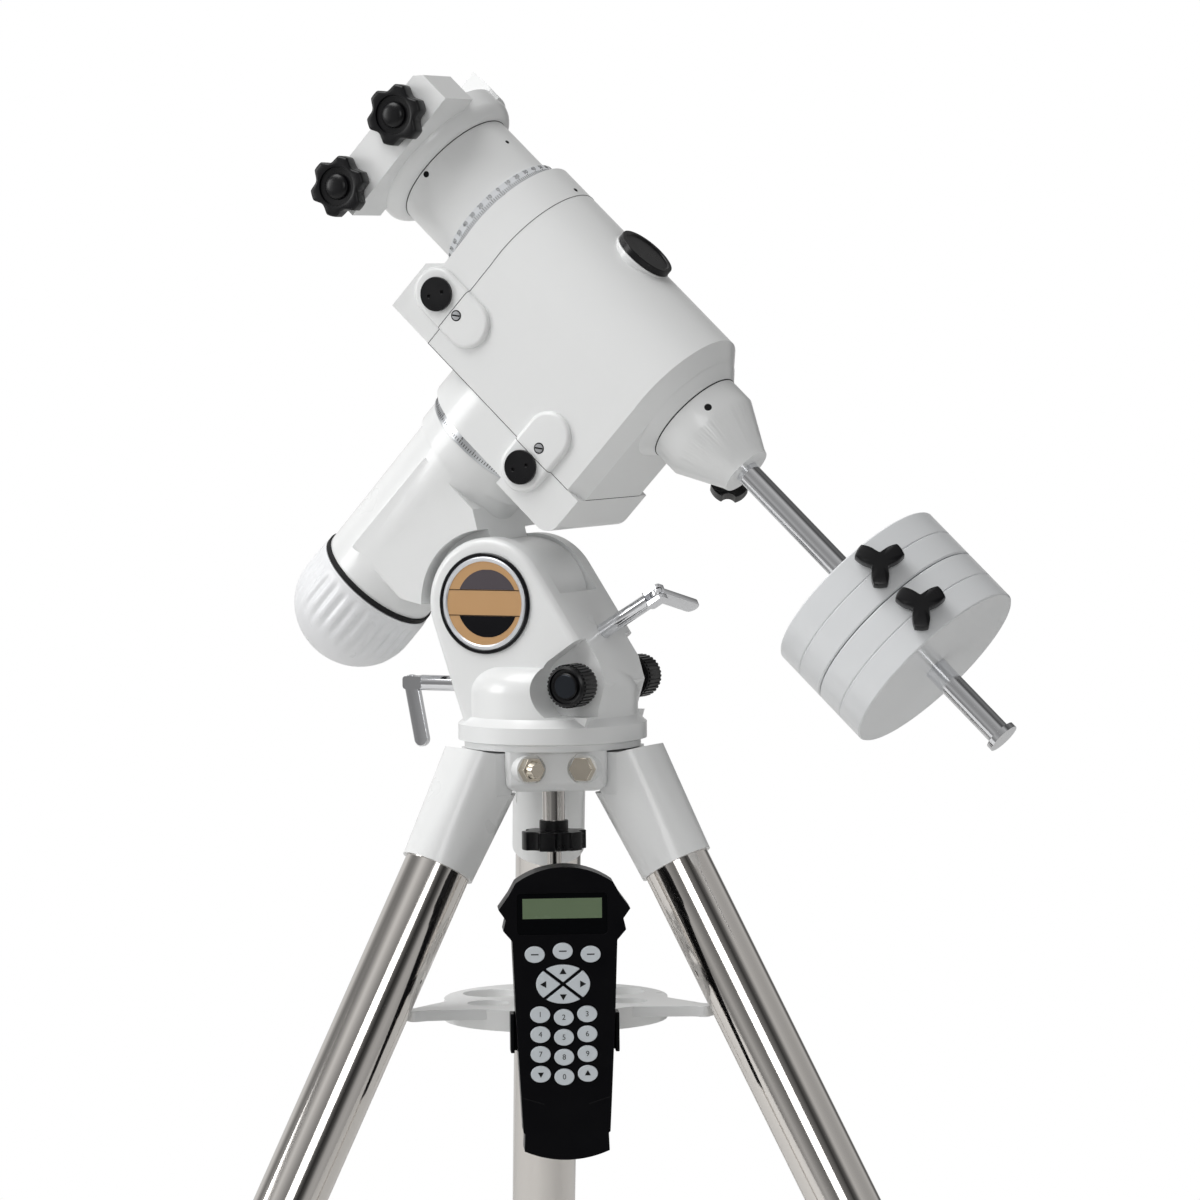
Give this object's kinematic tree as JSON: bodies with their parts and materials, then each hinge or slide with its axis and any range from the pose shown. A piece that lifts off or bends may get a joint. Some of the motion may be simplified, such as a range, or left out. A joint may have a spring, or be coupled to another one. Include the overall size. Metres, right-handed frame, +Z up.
{
  "type": "equatorial telescope mount",
  "caption": "Equatorial telescope mount on a folding steel tripod with a fork base, polar and declination units, dovetail saddle, counterweights and a hand controller.",
  "frame": {"origin": "on the floor under the centre of the tripod, on the azimuth axis", "axes": "+Z up along the azimuth axis, +X north towards the pole, so the polar axis lies in the XZ plane; the controller side is -Y"},
  "size_m": [0.764, 0.8758, 1.2819],
  "materials": {
    "white_casting": "white enamel over cast aluminium",
    "chromed_tube": "mirror chrome on steel tube",
    "chromed_steel": "bright chromed steel",
    "steel": "machined steel",
    "white_iron": "white enamel over cast iron",
    "black_plastic": "moulded black plastic",
    "badge": "printed disc in a bright ring",
    "silver_scale": "satin silver, engraved and filled black",
    "white_scale": "silver white, engraved and filled black",
    "brass": "machined brass",
    "seal": "black rubber",
    "white_plastic": "moulded white plastic",
    "controller_case": "moulded black plastic",
    "keys": "moulded pale grey keys"
  },
  "bodies": {
    "tripod": {"tripod_hub": "white_casting", "azimuth_peg": "steel", "leg_pivot_bolts": "steel"},
    "azimuth_base": {"azimuth_base": "white_casting", "altitude_badges": "badge"},
    "azimuth_screws": {"azimuth_screws": "steel"},
    "azimuth_knob_near": {"azimuth_knob_near": "black_plastic"},
    "azimuth_knob_far": {"azimuth_knob_far": "black_plastic"},
    "latitude_bolt_front": {"latitude_bolt_front": "chromed_steel"},
    "latitude_bolt_rear": {"latitude_bolt_rear": "chromed_steel"},
    "latitude_lever_front": {"latitude_lever_front": "chromed_steel"},
    "latitude_lever_rear": {"latitude_lever_rear": "chromed_steel"},
    "polar_unit": {"ra_housing": "white_casting", "polar_cap_seal": "seal"},
    "polar_cap": {"polar_cap": "white_plastic"},
    "ra_setting_circle": {"ra_setting_circle": "silver_scale"},
    "ra_clutch_lever": {"ra_clutch_lever": "black_plastic"},
    "declination_unit": {"dec_housing": "white_casting", "dec_top_cover": "white_casting", "ra_cover": "white_casting", "worm_caps": "black_plastic", "ra_axle": "steel"},
    "ra_worm": {"ra_worm": "steel"},
    "ra_worm_wheel": {"ra_worm_wheel": "brass"},
    "dec_worm": {"dec_worm": "steel"},
    "dec_worm_wheel": {"dec_worm_wheel": "brass"},
    "front_port_cap": {"front_port_cap": "black_plastic"},
    "dec_clutch_lever": {"dec_clutch_lever": "black_plastic"},
    "dec_setting_circle": {"dec_setting_circle": "white_scale"},
    "declination_axis": {"dec_head": "white_casting", "saddle": "white_casting", "shaft_cone": "white_casting"},
    "saddle_knob_upper": {"saddle_knob_upper": "black_plastic"},
    "saddle_knob_lower": {"saddle_knob_lower": "black_plastic"},
    "shaft_lock_knob": {"shaft_lock_knob": "black_plastic"},
    "counterweight_shaft": {"counterweight_shaft": "chromed_steel"},
    "counterweight_upper": {"counterweight_upper": "white_iron"},
    "counterweight_lower": {"counterweight_lower": "white_iron"},
    "counterweight_knob_upper": {"counterweight_knob_upper": "black_plastic"},
    "counterweight_knob_lower": {"counterweight_knob_lower": "black_plastic"},
    "draw_rod": {"draw_rod": "chromed_steel", "draw_knob": "black_plastic"},
    "tray": {"tray": "white_casting", "handset_holder": "controller_case"},
    "tray_knob": {"tray_knob": "black_plastic"},
    "handset": {"handset_case": "controller_case"},
    "handset_keys": {"handset_keys": "keys"},
    "handset_arrows": {"handset_arrows": "keys"},
    "leg_a": {"leg_socket_a": "white_casting", "leg_tube_a": "chromed_tube"},
    "leg_lower_a": {"leg_lower_a": "chromed_tube"},
    "leg_clamp_knob_a": {"leg_clamp_knob_a": "black_plastic"},
    "leg_b": {"leg_socket_b": "white_casting", "leg_tube_b": "chromed_tube"},
    "leg_lower_b": {"leg_lower_b": "chromed_tube"},
    "leg_clamp_knob_b": {"leg_clamp_knob_b": "black_plastic"},
    "leg_c": {"leg_socket_c": "white_casting", "leg_tube_c": "chromed_tube"},
    "leg_lower_c": {"leg_lower_c": "chromed_tube"},
    "leg_clamp_knob_c": {"leg_clamp_knob_c": "black_plastic"}
  },
  "joints": [
    {"name": "azimuth", "type": "hinge", "parent": "tripod", "child": "azimuth_base", "pos_m": [0, 0, 0.77], "axis": [0, 0, 1], "range_deg": [-8, 8]},
    {"name": "altitude", "type": "hinge", "parent": "azimuth_base", "child": "polar_unit", "pos_m": [-0.031, 0, 0.88], "axis": [0, -1, 0], "range_deg": [-20, 6]},
    {"name": "right_ascension", "type": "hinge", "parent": "polar_unit", "child": "declination_unit", "pos_m": [0.0405, 0, 1.0961], "axis": [0.6858, 0, 0.7278], "continuous": true},
    {"name": "declination", "type": "hinge", "parent": "declination_unit", "child": "declination_axis", "pos_m": [0.0405, 0, 1.0961], "axis": [-0.7278, 0, 0.6858], "continuous": true},
    {"name": "leg_fold_a", "type": "hinge", "parent": "tripod", "child": "leg_a", "pos_m": [0.049, 0, 0.757], "axis": [0, -1, 0], "range_deg": [-8.67, 0]},
    {"name": "leg_extend_a", "type": "slide", "parent": "leg_a", "child": "leg_lower_a", "axis": [0.4818, 0, -0.8763], "range_m": [0, 0.35]},
    {"name": "shaft_retract", "type": "slide", "parent": "declination_axis", "child": "counterweight_shaft", "axis": [-0.7278, 0, 0.6858], "range_m": [0, 0.06]},
    {"name": "counterweight_slide_upper", "type": "slide", "parent": "counterweight_shaft", "child": "counterweight_upper", "axis": [-0.7278, 0, 0.6858], "range_m": [0, 0.06]},
    {"name": "counterweight_slide_lower", "type": "slide", "parent": "counterweight_shaft", "child": "counterweight_lower", "axis": [-0.7278, 0, 0.6858], "range_m": [-0.065, 0]},
    {"name": "polar_cap_off", "type": "slide", "parent": "polar_unit", "child": "polar_cap", "axis": [-0.6858, 0, -0.7278], "range_m": [0, 0.08]},
    {"name": "front_cap_off", "type": "slide", "parent": "declination_unit", "child": "front_port_cap", "axis": [0.6858, 0, 0.7278], "range_m": [0, 0.03]},
    {"name": "handset_lift", "type": "slide", "parent": "tray", "child": "handset", "axis": [0, 0, 1], "range_m": [0, 0.045]},
    {"name": "lever_front_flip", "type": "hinge", "parent": "latitude_bolt_front", "child": "latitude_lever_front", "pos_m": [0.0907, 0, 0.886], "axis": [-0.5001, 0.28, 0.8195], "range_deg": [-60, 18]},
    {"name": "lever_rear_flip", "type": "hinge", "parent": "latitude_bolt_rear", "child": "latitude_lever_rear", "pos_m": [-0.1215, 0, 0.815], "axis": [0, 1, 0], "range_deg": [-12, 100]},
    {"name": "leg_clamp_a", "type": "hinge", "parent": "leg_a", "child": "leg_clamp_knob_a", "pos_m": [0.40989, 0, 0.20911], "axis": [0.8763, 0, 0.4818], "continuous": true},
    {"name": "leg_fold_b", "type": "hinge", "parent": "tripod", "child": "leg_b", "pos_m": [-0.0245, 0.04244, 0.757], "axis": [0.866, 0.5, 0], "range_deg": [-8.67, 0]},
    {"name": "leg_extend_b", "type": "slide", "parent": "leg_b", "child": "leg_lower_b", "axis": [-0.2409, 0.4172, -0.8763], "range_m": [0, 0.35]},
    {"name": "leg_clamp_b", "type": "hinge", "parent": "leg_b", "child": "leg_clamp_knob_b", "pos_m": [-0.20494, 0.35497, 0.20911], "axis": [-0.4382, 0.7589, 0.4818], "continuous": true},
    {"name": "leg_fold_c", "type": "hinge", "parent": "tripod", "child": "leg_c", "pos_m": [-0.0245, -0.04244, 0.757], "axis": [-0.866, 0.5, 0], "range_deg": [-8.67, 0]},
    {"name": "leg_extend_c", "type": "slide", "parent": "leg_c", "child": "leg_lower_c", "axis": [-0.2409, -0.4172, -0.8763], "range_m": [0, 0.35]},
    {"name": "leg_clamp_c", "type": "hinge", "parent": "leg_c", "child": "leg_clamp_knob_c", "pos_m": [-0.20494, -0.35497, 0.20911], "axis": [-0.4382, -0.7589, 0.4818], "continuous": true},
    {"name": "tray_slide", "type": "slide", "parent": "tripod", "child": "tray", "axis": [0, 0, 1], "range_m": [-0.0885, 0]},
    {"name": "draw_knob_turn", "type": "hinge", "parent": "tripod", "child": "draw_rod", "pos_m": [0, 0, 0.7], "axis": [0, 0, 1], "continuous": true},
    {"name": "tray_knob_turn", "type": "hinge", "parent": "tray", "child": "tray_knob", "pos_m": [0, 0, 0.556], "axis": [0, 0, 1], "continuous": true},
    {"name": "keys_press", "type": "slide", "parent": "handset", "child": "handset_keys", "axis": [-0.5, 0.866, 0], "range_m": [0, 0.0008], "stiffness_N_per_m": 400, "springref_m": -0.001},
    {"name": "arrows_press", "type": "slide", "parent": "handset", "child": "handset_arrows", "axis": [-0.5, 0.866, 0], "range_m": [0, 0.0008], "stiffness_N_per_m": 400, "springref_m": -0.001},
    {"name": "azimuth_screw_travel", "type": "slide", "parent": "azimuth_base", "child": "azimuth_screws", "axis": [0, -1, 0], "range_m": [-0.0066, 0.0066]},
    {"name": "azimuth_knob_near_turn", "type": "hinge", "parent": "azimuth_screws", "child": "azimuth_knob_near", "pos_m": [0.045, -0.055, 0.82], "axis": [0, -1, 0], "continuous": true},
    {"name": "azimuth_knob_far_turn", "type": "hinge", "parent": "azimuth_screws", "child": "azimuth_knob_far", "pos_m": [0.045, 0.055, 0.82], "axis": [0, 1, 0], "continuous": true},
    {"name": "latitude_front_travel", "type": "slide", "parent": "azimuth_base", "child": "latitude_bolt_front", "axis": [0.8536, 0, 0.5209], "range_m": [-0.0175, 0.0055]},
    {"name": "latitude_rear_travel", "type": "slide", "parent": "azimuth_base", "child": "latitude_bolt_rear", "axis": [1, 0, 0], "range_m": [-0.0225, 0.0068]},
    {"name": "ra_circle_turn", "type": "hinge", "parent": "polar_unit", "child": "ra_setting_circle", "pos_m": [-0.04729, 0, 1.00294], "axis": [0.6858, 0, 0.7278], "continuous": true},
    {"name": "ra_clutch_turn", "type": "hinge", "parent": "polar_unit", "child": "ra_clutch_lever", "pos_m": [-0.07197, 0.049, 0.97674], "axis": [0, 1, 0], "range_deg": [-40, 40]},
    {"name": "ra_worm_turn", "type": "hinge", "parent": "declination_unit", "child": "ra_worm", "pos_m": [0.00834, 0, 0.98323], "axis": [0, -1, 0], "continuous": true},
    {"name": "ra_wheel_turn", "type": "hinge", "parent": "declination_unit", "child": "ra_worm_wheel", "pos_m": [-0.03083, 0, 1.02041], "axis": [0.6858, 0, 0.7278], "continuous": true},
    {"name": "dec_worm_turn", "type": "hinge", "parent": "declination_unit", "child": "dec_worm", "pos_m": [-0.0613, 0, 1.11275], "axis": [0, -1, 0], "continuous": true},
    {"name": "dec_wheel_turn", "type": "hinge", "parent": "declination_unit", "child": "dec_worm_wheel", "pos_m": [-0.02173, 0, 1.15474], "axis": [-0.7278, 0, 0.6858], "continuous": true},
    {"name": "dec_clutch_turn", "type": "hinge", "parent": "declination_unit", "child": "dec_clutch_lever", "pos_m": [-0.01515, 0.059, 1.15953], "axis": [0, 1, 0], "range_deg": [-40, 25]},
    {"name": "dec_circle_turn", "type": "hinge", "parent": "declination_unit", "child": "dec_setting_circle", "pos_m": [-0.03592, 0, 1.16811], "axis": [-0.7278, 0, 0.6858], "continuous": true},
    {"name": "saddle_knob_upper_turn", "type": "hinge", "parent": "declination_axis", "child": "saddle_knob_upper", "pos_m": [-0.0814, -0.08, 1.2467], "axis": [0, -1, 0], "continuous": true},
    {"name": "saddle_knob_lower_turn", "type": "hinge", "parent": "declination_axis", "child": "saddle_knob_lower", "pos_m": [-0.13078, -0.08, 1.1943], "axis": [0, -1, 0], "continuous": true},
    {"name": "shaft_lock_turn", "type": "hinge", "parent": "declination_axis", "child": "shaft_lock_knob", "pos_m": [0.13728, 0.02911, 0.97134], "axis": [-0.4408, 0.766, -0.4678], "continuous": true},
    {"name": "counterweight_knob_upper_turn", "type": "hinge", "parent": "counterweight_upper", "child": "counterweight_knob_upper", "pos_m": [0.30103, -0.06351, 0.91399], "axis": [0.4031, -0.809, 0.4278], "continuous": true},
    {"name": "counterweight_knob_lower_turn", "type": "hinge", "parent": "counterweight_lower", "child": "counterweight_knob_lower", "pos_m": [0.33291, -0.06351, 0.88395], "axis": [0.4031, -0.809, 0.4278], "continuous": true}
  ],
  "couplings": [
    {"joint": "leg_fold_b", "follows": "leg_fold_a", "ratio": 1},
    {"joint": "leg_fold_c", "follows": "leg_fold_a", "ratio": 1},
    {"joint": "tray_slide", "follows": "leg_fold_a", "m_per_rad": 0.581},
    {"joint": "azimuth_screw_travel", "follows": "azimuth", "m_per_rad": 0.045},
    {"joint": "latitude_front_travel", "follows": "altitude", "m_per_rad": 0.0485},
    {"joint": "latitude_rear_travel", "follows": "altitude", "m_per_rad": 0.0635},
    {"joint": "ra_wheel_turn", "follows": "ra_worm_turn", "ratio": 0.0055556},
    {"joint": "dec_wheel_turn", "follows": "dec_worm_turn", "ratio": 0.0055556}
  ]
}
